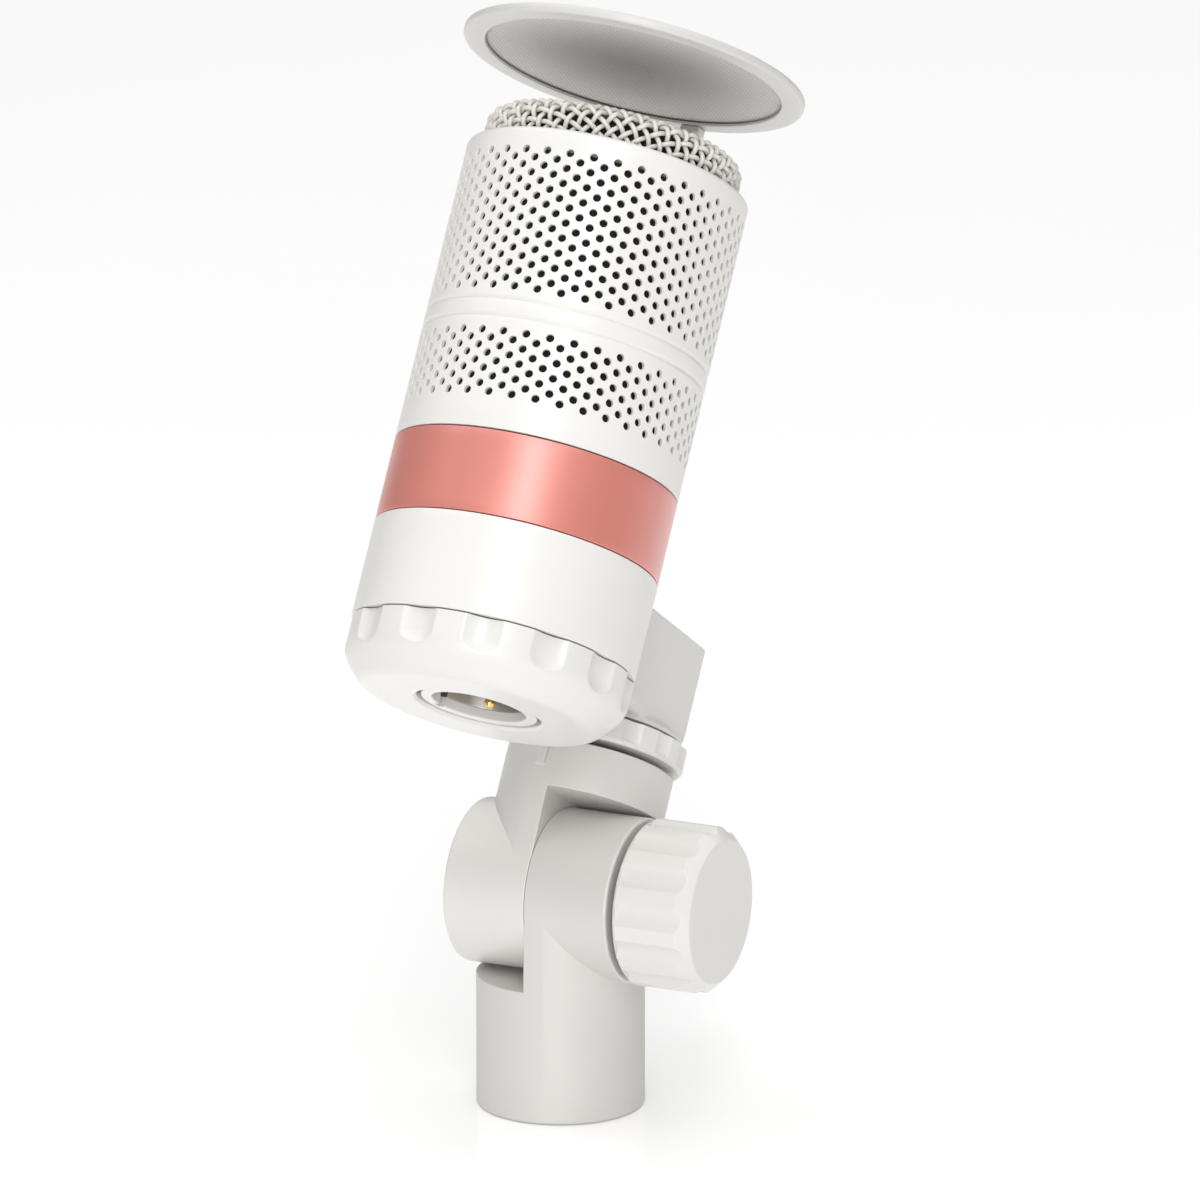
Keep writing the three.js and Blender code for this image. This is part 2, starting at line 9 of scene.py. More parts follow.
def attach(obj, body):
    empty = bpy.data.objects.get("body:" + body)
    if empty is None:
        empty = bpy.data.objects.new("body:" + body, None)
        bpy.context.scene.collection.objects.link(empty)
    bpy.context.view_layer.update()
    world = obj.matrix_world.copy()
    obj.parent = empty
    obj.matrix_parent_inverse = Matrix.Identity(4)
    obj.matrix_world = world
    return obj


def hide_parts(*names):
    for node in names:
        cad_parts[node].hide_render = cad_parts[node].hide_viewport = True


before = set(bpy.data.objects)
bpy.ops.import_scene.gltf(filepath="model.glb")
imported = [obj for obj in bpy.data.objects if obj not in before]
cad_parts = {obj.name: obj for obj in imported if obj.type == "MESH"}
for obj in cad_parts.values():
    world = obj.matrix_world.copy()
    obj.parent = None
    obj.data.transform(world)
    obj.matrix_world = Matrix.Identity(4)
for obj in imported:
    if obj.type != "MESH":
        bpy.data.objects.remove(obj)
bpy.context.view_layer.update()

scene = bpy.context.scene

# ------------------------------------------------------------------ frames
# Lengths below are millimetres in one of three frames, and metres in the row frame once placed:
# "row" is the part's own; "head" leans with the upper swivel about the tilt axis, its z the neck axis;
# "mic" is the head frame moved to the microphone's own axis. "knob" turns z onto the tilt axis.
HINGE = 44.7
LEAN = math.radians(31.12)
CL, SL = math.cos(LEAN), math.sin(LEAN)
OFFSET = 55.75


def place(v, where):
    v = np.array(v, float)
    if where == "knob":
        v = np.stack([v[:, 2], v[:, 1], HINGE - v[:, 0]], 1)
    if where == "headx":  # z along the tilt axis, in the leaning frame
        v = np.stack([v[:, 2], v[:, 1], -v[:, 0]], 1)
    if where == "mic":
        v = v - np.array([0, OFFSET, 0])
    if where in ("mic", "head", "headx"):
        v = np.stack([v[:, 0], v[:, 1] * CL + v[:, 2] * SL, HINGE - v[:, 1] * SL + v[:, 2] * CL], 1)
    return v * 1e-3


# ------------------------------------------------------------------ mesh tools
def mesh_of(name, v, faces):
    """faces: a list of index lists, or arrays of quads and triangles."""
    me = bpy.data.meshes.new(name)
    v = np.asarray(v, np.float64)
    flat, starts, n = [], [], 0
    for f in faces:
        f = np.asarray(f)
        if f.ndim == 1:
            f = f[None]
        k = f.shape[1]
        flat.append(f.reshape(-1))
        starts.append(n + k * np.arange(len(f)))
        n += f.size
    flat, starts = np.concatenate(flat).astype(np.int32), np.concatenate(starts).astype(np.int32)
    me.vertices.add(len(v))
    me.vertices.foreach_set("co", v.astype(np.float32).ravel())
    me.loops.add(len(flat))
    me.loops.foreach_set("vertex_index", flat)
    me.polygons.add(len(starts))
    me.polygons.foreach_set("loop_start", starts)
    me.update(calc_edges=True)
    me.validate()
    return me


def outward(me):
    bm = bmesh.new()
    bm.from_mesh(me)
    bmesh.ops.recalc_face_normals(bm, faces=bm.faces)
    if bm.calc_volume(signed=True) < 0:
        bmesh.ops.reverse_faces(bm, faces=bm.faces)
    bm.to_mesh(me)
    bm.free()


def piece(name, me, body, mat, replaces=(), sharp=32.0, fix=True, flat=False):
    if fix:
        outward(me)
    me.polygons.foreach_set("use_smooth", np.ones(len(me.polygons), bool))
    if sharp:
        me.set_sharp_from_angle(angle=math.radians(sharp))
    o = bpy.data.objects.new(name, me)
    scene.collection.objects.link(o)
    me.materials.clear()
    me.materials.append(mat)
    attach(o, body)
    if replaces:
        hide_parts(*replaces)
    if flat:
        m = o.modifiers.new("even", "WEIGHTED_NORMAL")
        m.keep_sharp, m.weight = True, 100
        done = bpy.data.meshes.new_from_object(o.evaluated_get(bpy.context.evaluated_depsgraph_get()))
        o.modifiers.clear()
        o.data = done
    return o


def fillet(points, closed=True, n=5):
    """(x, y, radius) corners -> a polyline whose corners are arcs."""
    out, m = [], len(points)
    for i, p in enumerate(points):
        rad = p[2] if len(p) > 2 else 0
        b = np.array(p[:2], float)
        if rad <= 0 or (not closed and i in (0, m - 1)):
            out.append(tuple(b))
            continue
        a, c = np.array(points[i - 1][:2], float), np.array(points[(i + 1) % m][:2], float)
        la, lc = np.linalg.norm(a - b), np.linalg.norm(c - b)
        u, w = (a - b) / la, (c - b) / lc
        ang = math.acos(max(-1, min(1, float(u @ w))))
        if ang > math.pi - 1e-3:
            out.append(tuple(b))
            continue
        t = min(rad / math.tan(ang / 2), 0.49 * la, 0.49 * lc)
        rad = t * math.tan(ang / 2)
        mid = (u + w) / np.linalg.norm(u + w)
        o = b + mid * rad / math.sin(ang / 2)
        p0, p1 = b + u * t - o, b + w * t - o
        a0 = math.atan2(p0[1], p0[0])
        d = math.atan2(p1[1], p1[0]) - a0
        d = (d + math.pi) % (2 * math.pi) - math.pi
        for k in range(n + 1):
            q = a0 + d * k / n
            out.append((o[0] + rad * math.cos(q), o[1] + rad * math.sin(q)))
    return out


def split(points, step):
    """Adds points so that no straight stretch is longer than step."""
    out = []
    m = len(points)
    for i in range(m - 1):
        a, b = np.array(points[i], float), np.array(points[i + 1], float)
        k = max(1, int(math.ceil(np.linalg.norm(b - a) / step)))
        out += [tuple(a + (b - a) * j / k) for j in range(k)]
    out.append(tuple(points[-1]))
    return out


def lathe(profile, n, shape=None, phase=0.0):
    """A profile of (r, z) turned about z. It ends on the axis at both ends, or closes on itself. shape(R, Z, A) may move the points."""
    p = np.array(profile, float)
    pole0, pole1 = p[0, 0] < 1e-9, p[-1, 0] < 1e-9
    rows = p[int(pole0):len(p) - int(pole1)]
    a = 2 * math.pi * np.arange(n) / n + phase
    R = np.repeat(rows[:, :1], n, 1)
    Z = np.repeat(rows[:, 1:], n, 1)
    A = np.repeat(a[None], len(rows), 0)
    if shape:
        R, Z = shape(R, Z, A)
    v = np.stack([R * np.cos(A), R * np.sin(A), Z], 2).reshape(-1, 3)
    m = len(rows)
    j = np.arange(n)
    jn = (j + 1) % n
    faces = []
    for i in range(m - 1 + (0 if pole0 or pole1 else 1)):
        b, c = i * n, ((i + 1) % m) * n
        faces.append(np.stack([b + j, b + jn, c + jn, c + j], 1))
    if pole0:
        v = np.vstack([v, [0, 0, p[0, 1]]])
        faces.append(np.stack([np.full(n, len(v) - 1), jn, j], 1))
    if pole1:
        v = np.vstack([v, [0, 0, p[-1, 1]]])
        b = (m - 1) * n
        faces.append(np.stack([np.full(n, len(v) - 1), b + j, b + jn], 1))
    return v, faces


def prism(outline, z0, z1, bevel=0.0, steps=3, inset=None):
    """An outline pulled from z0 to z1. inset(outline, d) gives it shrunk, for rounded ends."""
    rings = []
    if bevel and inset:
        for k in range(steps + 1):
            q = math.pi / 2 * k / steps
            rings.append((inset(bevel * (1 - math.sin(q))), z0 + bevel * (1 - math.cos(q))))
        for k in range(steps, -1, -1):
            q = math.pi / 2 * k / steps
            rings.append((inset(bevel * (1 - math.sin(q))), z1 - bevel * (1 - math.cos(q))))
    else:
        rings = [(outline, z0), (outline, z1)]
    n = len(rings[0][0])
    v = np.vstack([np.column_stack([np.array(o, float), np.full(n, z)]) for o, z in rings])
    j = np.arange(n)
    jn = (j + 1) % n
    faces = [np.stack([i * n + j, i * n + jn, (i + 1) * n + jn, (i + 1) * n + j], 1) for i in range(len(rings) - 1)]
    faces += [j[::-1], (len(rings) - 1) * n + j]
    return v, faces


def block(x0, x1, y0, y1, z0, z1):
    return prism([(x0, y0), (x1, y0), (x1, y1), (x0, y1)], z0, z1)


def tool(vf, turn=None):
    """A scratch object in millimetres, for cutting and joining."""
    me = mesh_of("scratch", *vf)
    if turn is not None:
        me.transform(turn)
    outward(me)
    o = bpy.data.objects.new("scratch", me)
    scene.collection.objects.link(o)
    return o


def combine(a, b, how):
    m = a.modifiers.new("cut", "BOOLEAN")
    m.operation, m.solver, m.object = how, "EXACT", b
    done = bpy.data.meshes.new_from_object(a.evaluated_get(bpy.context.evaluated_depsgraph_get()))
    a.modifiers.clear()
    a.data = done
    bpy.data.objects.remove(b)
    return a


def edge_bevel(o, width, angle=50, segments=2):
    bm = bmesh.new()
    bm.from_mesh(o.data)
    bmesh.ops.remove_doubles(bm, verts=bm.verts, dist=0.004)
    bmesh.ops.dissolve_degenerate(bm, edges=bm.edges, dist=0.004)
    bm.to_mesh(o.data)
    bm.free()
    m = o.modifiers.new("bevel", "BEVEL")
    m.width, m.segments, m.limit_method, m.angle_limit = width, segments, "ANGLE", math.radians(angle)
    m.use_clamp_overlap = False
    m.miter_outer = "MITER_SHARP"
    done = bpy.data.meshes.new_from_object(o.evaluated_get(bpy.context.evaluated_depsgraph_get()))
    o.modifiers.clear()
    o.data = done
    return o


def finished(o, where, name):
    """A scratch object's mesh, placed in the row frame in metres."""
    me = o.data
    v = np.zeros(len(me.vertices) * 3, np.float32)
    me.vertices.foreach_get("co", v)
    me.vertices.foreach_set("co", place(v.reshape(-1, 3), where).astype(np.float32).ravel())
    me.update()
    me.name = name
    bpy.data.objects.remove(o)
    return me


def placed(name, vf, where):
    v, f = vf
    return mesh_of(name, place(v, where), f)


TO_X = Matrix.Rotation(math.radians(90), 4, "Y")  # z onto +x


# ------------------------------------------------------------------ materials
def new_mat(name):
    m = bpy.data.materials.new(name)
    m.use_nodes = True
    nt = m.node_tree
    return m, nt, nt.nodes["Principled BSDF"]


def noise(nt, coord, scale, detail=2.0, rough=0.5):
    t = nt.nodes.new("ShaderNodeTexNoise")
    t.inputs["Scale"].default_value = scale
    t.inputs["Detail"].default_value = detail
    t.inputs["Roughness"].default_value = rough
    nt.links.new(coord, t.inputs["Vector"])
    return t


def ramp(nt, fac, stops):
    r = nt.nodes.new("ShaderNodeValToRGB")
    e = r.color_ramp.elements
    e[0].position, e[0].color = stops[0][0], (*stops[0][1], 1)
    e[1].position, e[1].color = stops[-1][0], (*stops[-1][1], 1)
    for p, c in stops[1:-1]:
        x = e.new(p)
        x.color = (*c, 1)
    nt.links.new(fac, r.inputs["Fac"])
    return r


def span(nt, value, lo, hi):
    r = nt.nodes.new("ShaderNodeMapRange")
    r.inputs["To Min"].default_value, r.inputs["To Max"].default_value = lo, hi
    nt.links.new(value, r.inputs["Value"])
    return r.outputs["Result"]


def bump(nt, height, strength, distance, after=None):
    b = nt.nodes.new("ShaderNodeBump")
    b.inputs["Strength"].default_value = strength
    b.inputs["Distance"].default_value = distance
    nt.links.new(height, b.inputs["Height"])
    if after is not None:
        nt.links.new(after, b.inputs["Normal"])
    return b.outputs["Normal"]


def painted(name, colour, rough, grain=2600, grain_depth=6e-6, peel=420, peel_depth=1.0e-5, vary=0.012, metallic=0.0, coat=0.0, coat_rough=0.2, spec=0.5, edge=0.03, coat_ior=1.5):
    """Sprayed or moulded skin: a fine grain over a broad orange peel, faint clouding, and slightly paler worn edges."""
    m, nt, p = new_mat(name)
    c = nt.nodes.new("ShaderNodeTexCoord").outputs["Object"]
    cloud = noise(nt, c, 38, 3)
    fine = noise(nt, c, grain, 2, 0.6)
    broad = noise(nt, c, peel, 1)
    lo = tuple(max(0.0, x * (1 - vary)) for x in colour)
    hi = tuple(min(1.0, x * (1 + vary)) for x in colour)
    tint = ramp(nt, cloud.outputs["Fac"], [(0.3, lo), (0.7, hi)])
    geo = nt.nodes.new("ShaderNodeNewGeometry")
    worn = ramp(nt, geo.outputs["Pointiness"], [(0.52, (0, 0, 0)), (0.62, (1, 1, 1))])
    mix = nt.nodes.new("ShaderNodeMix")
    mix.data_type = "RGBA"
    amount = nt.nodes.new("ShaderNodeMath")
    amount.operation = "MULTIPLY"
    amount.inputs[1].default_value = edge
    nt.links.new(worn.outputs["Color"], amount.inputs[0])
    nt.links.new(amount.outputs[0], mix.inputs["Factor"])
    nt.links.new(tint.outputs["Color"], mix.inputs["A"])
    mix.inputs["B"].default_value = (min(1, colour[0] * 1.25), min(1, colour[1] * 1.25), min(1, colour[2] * 1.25), 1)
    nt.links.new(mix.outputs["Result"], p.inputs["Base Color"])
    nt.links.new(span(nt, fine.outputs["Fac"], rough - 0.05, rough + 0.05), p.inputs["Roughness"])
    n1 = bump(nt, broad.outputs["Fac"], 0.35, peel_depth)
    n2 = bump(nt, fine.outputs["Fac"], 0.6, grain_depth, n1)
    nt.links.new(n2, p.inputs["Normal"])
    p.inputs["Metallic"].default_value = metallic
    p.inputs["Coat Weight"].default_value = coat
    p.inputs["Coat Roughness"].default_value = coat_rough
    p.inputs["Coat IOR"].default_value = coat_ior
    p.inputs["Specular IOR Level"].default_value = spec
    return m


def metal(name, colour, rough, streak=(60, 60, 2600), depth=3e-6):
    """Turned or drawn metal: fine streaks, and a little tarnish."""
    m, nt, p = new_mat(name)
    c = nt.nodes.new("ShaderNodeTexCoord").outputs["Object"]
    mp = nt.nodes.new("ShaderNodeMapping")
    mp.inputs["Scale"].default_value = streak
    nt.links.new(c, mp.inputs["Vector"])
    lines = noise(nt, mp.outputs["Vector"], 1.0, 3)
    stain = noise(nt, c, 160, 3)
    tint = ramp(nt, stain.outputs["Fac"], [(0.3, tuple(x * 0.9 for x in colour)), (0.7, colour)])
    nt.links.new(tint.outputs["Color"], p.inputs["Base Color"])
    nt.links.new(span(nt, lines.outputs["Fac"], rough - 0.08, rough + 0.1), p.inputs["Roughness"])
    nt.links.new(bump(nt, lines.outputs["Fac"], 0.4, depth), p.inputs["Normal"])
    p.inputs["Metallic"].default_value = 1.0
    return m


def dull(name, colour, rough, scale=1800, depth=2e-5, vary=0.15):
    """Rubber, foam or plain moulded plastic: a pitted matt skin."""
    m, nt, p = new_mat(name)
    c = nt.nodes.new("ShaderNodeTexCoord").outputs["Object"]
    pits = nt.nodes.new("ShaderNodeTexVoronoi")
    pits.inputs["Scale"].default_value = scale
    nt.links.new(c, pits.inputs["Vector"])
    fine = noise(nt, c, scale * 0.4, 3)
    tint = ramp(nt, fine.outputs["Fac"], [(0.3, tuple(x * (1 - vary) for x in colour)), (0.7, tuple(min(1, x * (1 + vary)) for x in colour))])
    nt.links.new(tint.outputs["Color"], p.inputs["Base Color"])
    nt.links.new(span(nt, fine.outputs["Fac"], rough - 0.06, min(1.0, rough + 0.06)), p.inputs["Roughness"])
    nt.links.new(bump(nt, pits.outputs["Distance"], 0.5, depth), p.inputs["Normal"])
    return m


WHITE = painted("white_paint", (0.70, 0.687, 0.662), 0.36, grain=2400, grain_depth=2.5e-6, coat=0.12, coat_rough=0.12)
MOULD = painted("white_moulding", (0.68, 0.667, 0.643), 0.33, grain=3200, grain_depth=2e-6, peel=260, coat=0.1, coat_rough=0.15)
CAST = painted("swivel_coat", (0.665, 0.652, 0.625), 0.46, grain=2100, grain_depth=9e-6, peel=500, vary=0.018, metallic=0.15)
# painted shade: the base casting gets a darker copy of the swivel coat, standing in for less light on the lower column;
# both castings carry one paint
CAST_PAINTED_SHADE = painted("base_coat_painted_shade", (0.595, 0.583, 0.558), 0.46, grain=2100, grain_depth=9e-6, peel=500, vary=0.018, metallic=0.15)
CORAL = painted("coral_lacquer", (0.66, 0.21, 0.172), 0.46, grain=1900, grain_depth=2.2e-5, metallic=0.3, coat=1.0, coat_rough=0.34, vary=0.03, edge=0.05, coat_ior=1.7)
# painted shade: a darker copy of the white moulding for the filter hoop and arm, standing in for the shade on their
# undersides; they are the same white plastic as the other mouldings
POP_PAINTED_SHADE = painted("pop_moulding_painted_shade", (0.56, 0.547, 0.526), 0.38, grain=3200, grain_depth=2e-6, peel=260, coat=0.1, coat_rough=0.2)
WIRE = painted("wire_coat", (0.66, 0.635, 0.59), 0.34, grain=3000, grain_depth=3e-6, edge=0.0)
STEEL = metal("bright_steel", (0.6, 0.6, 0.59), 0.3)
GREY_METAL = metal("inlet_metal", (0.5, 0.495, 0.48), 0.42, streak=(700, 700, 40))
GOLD = metal("gold_plate", (0.93, 0.62, 0.22), 0.2)
BRASS = metal("thread_brass", (0.72, 0.55, 0.27), 0.3)
COPPER = metal("copper_wire", (0.75, 0.38, 0.22), 0.3, streak=(60, 60, 9000))
ALLOY = metal("capsule_alloy", (0.68, 0.68, 0.68), 0.38)
BLACK = dull("black_moulding", (0.018, 0.018, 0.018), 0.6)
RUBBER = dull("soft_rubber", (0.025, 0.025, 0.025), 0.8)
FOAM = dull("open_foam", (0.006, 0.006, 0.006), 0.95, scale=1200, depth=2e-4, vary=0.4)
RED = dull("red_sleeve", (0.5, 0.03, 0.025), 0.5)
BOARD = dull("board_green", (0.02, 0.12, 0.05), 0.4, scale=900, depth=5e-6)
FILM = dull("amber_film", (0.6, 0.45, 0.18), 0.25, scale=600, depth=5e-6)


def cloth_material():
    """Fine woven pop-filter cloth: threads 0.42 mm apart both ways, with painted shade making it darker towards the
    middle.
    """
    m, nt, p = new_mat("pop_cloth")
    c = nt.nodes.new("ShaderNodeTexCoord").outputs["Object"]
    # the cloth's own plane: x across, and the in-plane direction that leans with the head
    mp = nt.nodes.new("ShaderNodeMapping")
    mp.vector_type = "POINT"
    mp.inputs["Rotation"].default_value = (LEAN, 0, 0)
    nt.links.new(c, mp.inputs["Vector"])
    sep = nt.nodes.new("ShaderNodeSeparateXYZ")
    nt.links.new(mp.outputs["Vector"], sep.inputs[0])
    bias = nt.nodes.new("ShaderNodeMapping")  # the threads run slantwise
    bias.inputs["Rotation"].default_value = (0, 0, math.radians(38))
    nt.links.new(mp.outputs["Vector"], bias.inputs["Vector"])
    along = nt.nodes.new("ShaderNodeSeparateXYZ")
    nt.links.new(bias.outputs["Vector"], along.inputs[0])

    def math_node(op, a, b=None, c=None):
        x = nt.nodes.new("ShaderNodeMath")
        x.operation = op
        for i, q in enumerate((a, b, c)):
            if q is None:
                continue
            if hasattr(q, "is_linked") or hasattr(q, "links"):
                nt.links.new(q, x.inputs[i])
            else:
                x.inputs[i].default_value = q
        return x.outputs[0]

    k = math.pi / 0.00058
    sx = math_node("SINE", math_node("MULTIPLY", along.outputs["X"], k))
    sy = math_node("SINE", math_node("MULTIPLY", along.outputs["Y"], k))
    both = math_node("MULTIPLY", sx, sy)
    lift = math_node("MAXIMUM", math_node("ABSOLUTE", sx), math_node("ABSOLUTE", sy))
    weave = math_node("MULTIPLY_ADD", both, 0.25, lift)
    # distance from the filter's axis, towards which the painted shade grows darker
    cy = math_node("ADD", sep.outputs["Y"], CLOTH_Y)
    rr = math_node("SQRT", math_node("ADD", math_node("MULTIPLY", sep.outputs["X"], sep.outputs["X"]), math_node("MULTIPLY", cy, cy)))
    soft = noise(nt, c, 60, 2)
    painted_shade_distance = math_node("ADD", rr, math_node("MULTIPLY", soft.outputs["Fac"], 0.006))
    # painted shade: the cloth is darkest near the axis, standing in for shade from the microphone head close behind it,
    # and lighter towards the hoop
    painted_shade = ramp(nt, math_node("MULTIPLY", painted_shade_distance, 1 / 0.034), [(0.15, (0.32, 0.311, 0.29)), (0.55, (0.45, 0.437, 0.41)), (1.0, (0.62, 0.607, 0.575))])
    thread = ramp(nt, weave, [(0.35, (0.3, 0.3, 0.3)), (1.0, (1.12, 1.12, 1.12))])
    mul = nt.nodes.new("ShaderNodeMix")
    mul.data_type, mul.blend_type = "RGBA", "MULTIPLY"
    mul.inputs["Factor"].default_value = 1.0
    nt.links.new(painted_shade.outputs["Color"], mul.inputs["A"])
    nt.links.new(thread.outputs["Color"], mul.inputs["B"])
    nt.links.new(mul.outputs["Result"], p.inputs["Base Color"])
    nt.links.new(bump(nt, weave, 0.8, 8e-5), p.inputs["Normal"])
    p.inputs["Roughness"].default_value = 0.75
    p.inputs["Sheen Weight"].default_value = 0.15
    return m


# where the filter's axis passes, in the leaning frame's in-plane direction, metres
_axis = place([[0, 0, 157.7]], "mic")[0]
CLOTH_Y = -float(_axis[1] * CL - _axis[2] * SL)
CLOTH = cloth_material()

# ------------------------------------------------------------------ camera
RIGHT = Vector((0.8970, 0.4420, 0.0)).normalized()
BACK = Vector((0.42686, -0.86635, 0.25928)).normalized()
UP = BACK.cross(RIGHT).normalized()
RIGHT = UP.cross(BACK).normalized()
cam_data = bpy.data.cameras.new("camera")
cam = bpy.data.objects.new("camera", cam_data)
scene.collection.objects.link(cam)
cam_data.lens, cam_data.sensor_width, cam_data.sensor_fit = 341.43, 36.0, "AUTO"
cam_data.clip_start, cam_data.clip_end = 0.05, 50
cam.matrix_world = Matrix.Translation((RIGHT * 7.85 + UP * 99.94 + BACK * 2276.22) * 1.02e-3) @ Matrix((RIGHT, UP, BACK)).transposed().to_4x4()
scene.camera = cam


# ------------------------------------------------------------------ swivel castings
BASE_R, BARREL_R, CUT = 17.2, 16.85, 17.2
SEG = 180


def leg_prism(x0, x1, flip):
    """The side outline of a swivel half, round above the tilt axis and straight below, along x."""
    inner = BARREL_R - 0.25
    pts = [(inner * math.cos(math.radians(a)), 0.5 + inner * math.sin(math.radians(a))) for a in np.linspace(0, 180, 61)]
    pts += [(-17.3, -CUT), (-17.3, -58), (17.3, -58), (17.3, -CUT)]
    v, f = prism(pts, x0, x1)
    s = -1 if flip else 1
    return np.stack([v[:, 2], s * v[:, 0], s * v[:, 1]], 1), f


def barrel_end(sign):
    prof = fillet([(0, -0.8), (BARREL_R, -0.8), (BARREL_R, 18.35, 0.6), (0, 18.35)], closed=False, n=9)
    v, f = lathe(prof, SEG)
    return np.stack([sign * v[:, 2], v[:, 1], -v[:, 0]], 1), f


def make_base():
    col = lathe(fillet([(0, -HINGE), (BASE_R, -HINGE, 0.6), (BASE_R, 0), (0, 0)], closed=False, n=9), SEG)
    o = tool(col)
    combine(o, tool(leg_prism(-30, 30, False)), "INTERSECT")
    combine(o, tool(barrel_end(1)), "UNION")
    combine(o, tool(block(-40, 0.05, -40, 40, -CUT, 40)), "DIFFERENCE")
    combine(o, tool(lathe([(0, -HINGE - 1), (9.95, -HINGE - 1), (9.95, -HINGE + 20.5), (0, -HINGE + 20.5)], 96)), "DIFFERENCE")
    combine(o, tool(lathe([(0, -1), (13.0, -1), (13.0, 1.0), (3.4, 1.0), (3.4, 20), (0, 20)], 96), TO_X), "DIFFERENCE")
    edge_bevel(o, 0.16, 52, 2)
    o.data.transform(Matrix.Translation((0, 0, HINGE)))
    return finished(o, "row", "base_casting")


def make_head():
    col = lathe(fillet([(0, 0), (BASE_R, 0), (BASE_R, 27.1, 0.4), (0, 27.1)], closed=False, n=9), SEG)
    o = tool(col)
    combine(o, tool(leg_prism(-30, 30, True)), "INTERSECT")
    combine(o, tool(barrel_end(-1)), "UNION")
    combine(o, tool(block(-0.05, 40, -40, 40, -40, CUT)), "DIFFERENCE")
    combine(o, tool(lathe([(0, -19), (10.4, -19), (10.4, -15.75), (0, -15.75)], 96), TO_X), "DIFFERENCE")
    combine(o, tool(lathe([(0, -16.5), (3.4, -16.5), (3.4, -1.0), (13.0, -1.0), (13.0, 2), (0, 2)], 96), TO_X), "DIFFERENCE")
    combine(o, tool(lathe([(0, 20), (4.4, 20), (4.4, 28), (0, 28)], 64)), "DIFFERENCE")
    rib = tool(prism(fillet([(-1.25, -18.05, 0.3), (1.25, -18.05, 0.3), (1.25, -16.0), (-1.25, -16.0)], n=4), 21.3, 26.9), Matrix.Rotation(math.radians(-9.2), 4, "Z"))
    combine(o, rib, "UNION")
    edge_bevel(o, 0.16, 52, 2)
    return finished(o, "head", "head_casting")


piece("base_casting", make_base(), "lower_swivel", CAST_PAINTED_SHADE, ["swivel_base"], sharp=17, flat=True)
piece("head_casting", make_head(), "upper_swivel", CAST, ["swivel_head"], sharp=17, flat=True)

# plug over the nut pocket: shallow dish with a coin slot
plug = tool(lathe(fillet([(0, -18.25), (7.4, -18.25, 0.3), (7.9, -17.75, 0.3), (9.2, -17.75, 0.25), (9.6, -18.2, 0.25), (10.25, -18.2, 0.2), (10.25, -16.1), (0, -16.1)], closed=False, n=4), 96))
combine(plug, tool(block(-5.2, 5.2, -0.75, 0.75, -19, -17.3)), "DIFFERENCE")
edge_bevel(plug, 0.1, 50, 2)
piece("barrel_cover", finished(plug, "headx", "barrel_cover"), "upper_swivel", CAST, ["barrel_plug"])

# brass insert with the stand thread cut in its bore, 27 turns to the inch
def insert():
    pitch, turns = 25.4 / 27, 19
    prof = [(9.7, 0.35), (9.9, 0.55), (9.9, 20.2), (7.35, 20.2)]
    inner = [(7.94 - 0.6, z) for z in np.linspace(19.9, 0.9, 19 * 9)]
    prof += inner + [(8.1, 0.35)]

    def shape(R, Z, A):
        f = (Z / pitch - A / (2 * math.pi)) % 1.0
        cut = 0.58 * (1 - np.abs(2 * f - 1)) ** 0.9
        inside = (R < 7.5) & (Z < 19.95) & (Z > 0.85)
        return np.where(inside, R + cut, R), Z
    return placed("thread_insert", lathe(prof, 96, shape), "row")


piece("thread_insert", insert(), "lower_swivel", BRASS, ["stand_thread_insert"], sharp=50)


# ------------------------------------------------------------------ fluted pieces
def flutes(R, A, count, phase, cut, depth, base, rho, soft=0.05):
    """Radius after round scoops: tools of radius rho(point) centred base + cut - depth out, from phase on. Edges are slightly softened."""
    step = 2 * math.pi / count
    d = (A - phase + step / 2) % step - step / 2
    half = base + cut - depth
    q = np.maximum(rho ** 2 - (half * np.sin(d)) ** 2, 0)
    near = half * np.cos(d) - np.sqrt(q)
    depth_here = np.where((half * np.abs(np.sin(d)) < rho) & (np.cos(d) > 0), R - near, -1.0)
    return R - 0.5 * (depth_here + np.sqrt(depth_here ** 2 + soft ** 2)) * (depth_here > -0.9)


# clamp knob, z along the tilt axis
KNOB_PHASE = math.radians(7.1)
def knob():
    prof = fillet([(0, 20.6), (12.0, 20.6, 0.3), (12.3, 19.65, 0.25), (16.35, 19.65, 0.25), (17.05, 20.3, 0.2), (17.05, 33.65, 0.12), (14.75, 36.1, 0.35), (14.0, 36.2, 0.3), (0, 36.12)], closed=False, n=4)
    prof = split(prof, 0.24)
    prof = [p for i, p in enumerate(prof) if p[0] > 13 or i % 8 == 0 or i in (0, len(prof) - 1)]

    def shape(R, Z, A):
        # from -Y towards +Z: the lathe's angle 0 is row -Z once placed, 90 degrees is +Y
        a = -(A + math.pi / 2) % (2 * math.pi)  # angle from -Y towards +Z
        rho = np.full_like(R, 3.9)
        out = flutes(R, a, 13, KNOB_PHASE, 3.9, 1.12, 17.05, rho, 0.014)
        return np.where((R > 14.6) & (Z > 20.0), out, R), Z
    return placed("clamp_grip", lathe(prof, 13 * 56, shape), "knob")


piece("clamp_grip", knob(), "knob", MOULD, ["clamp_knob"], sharp=40)


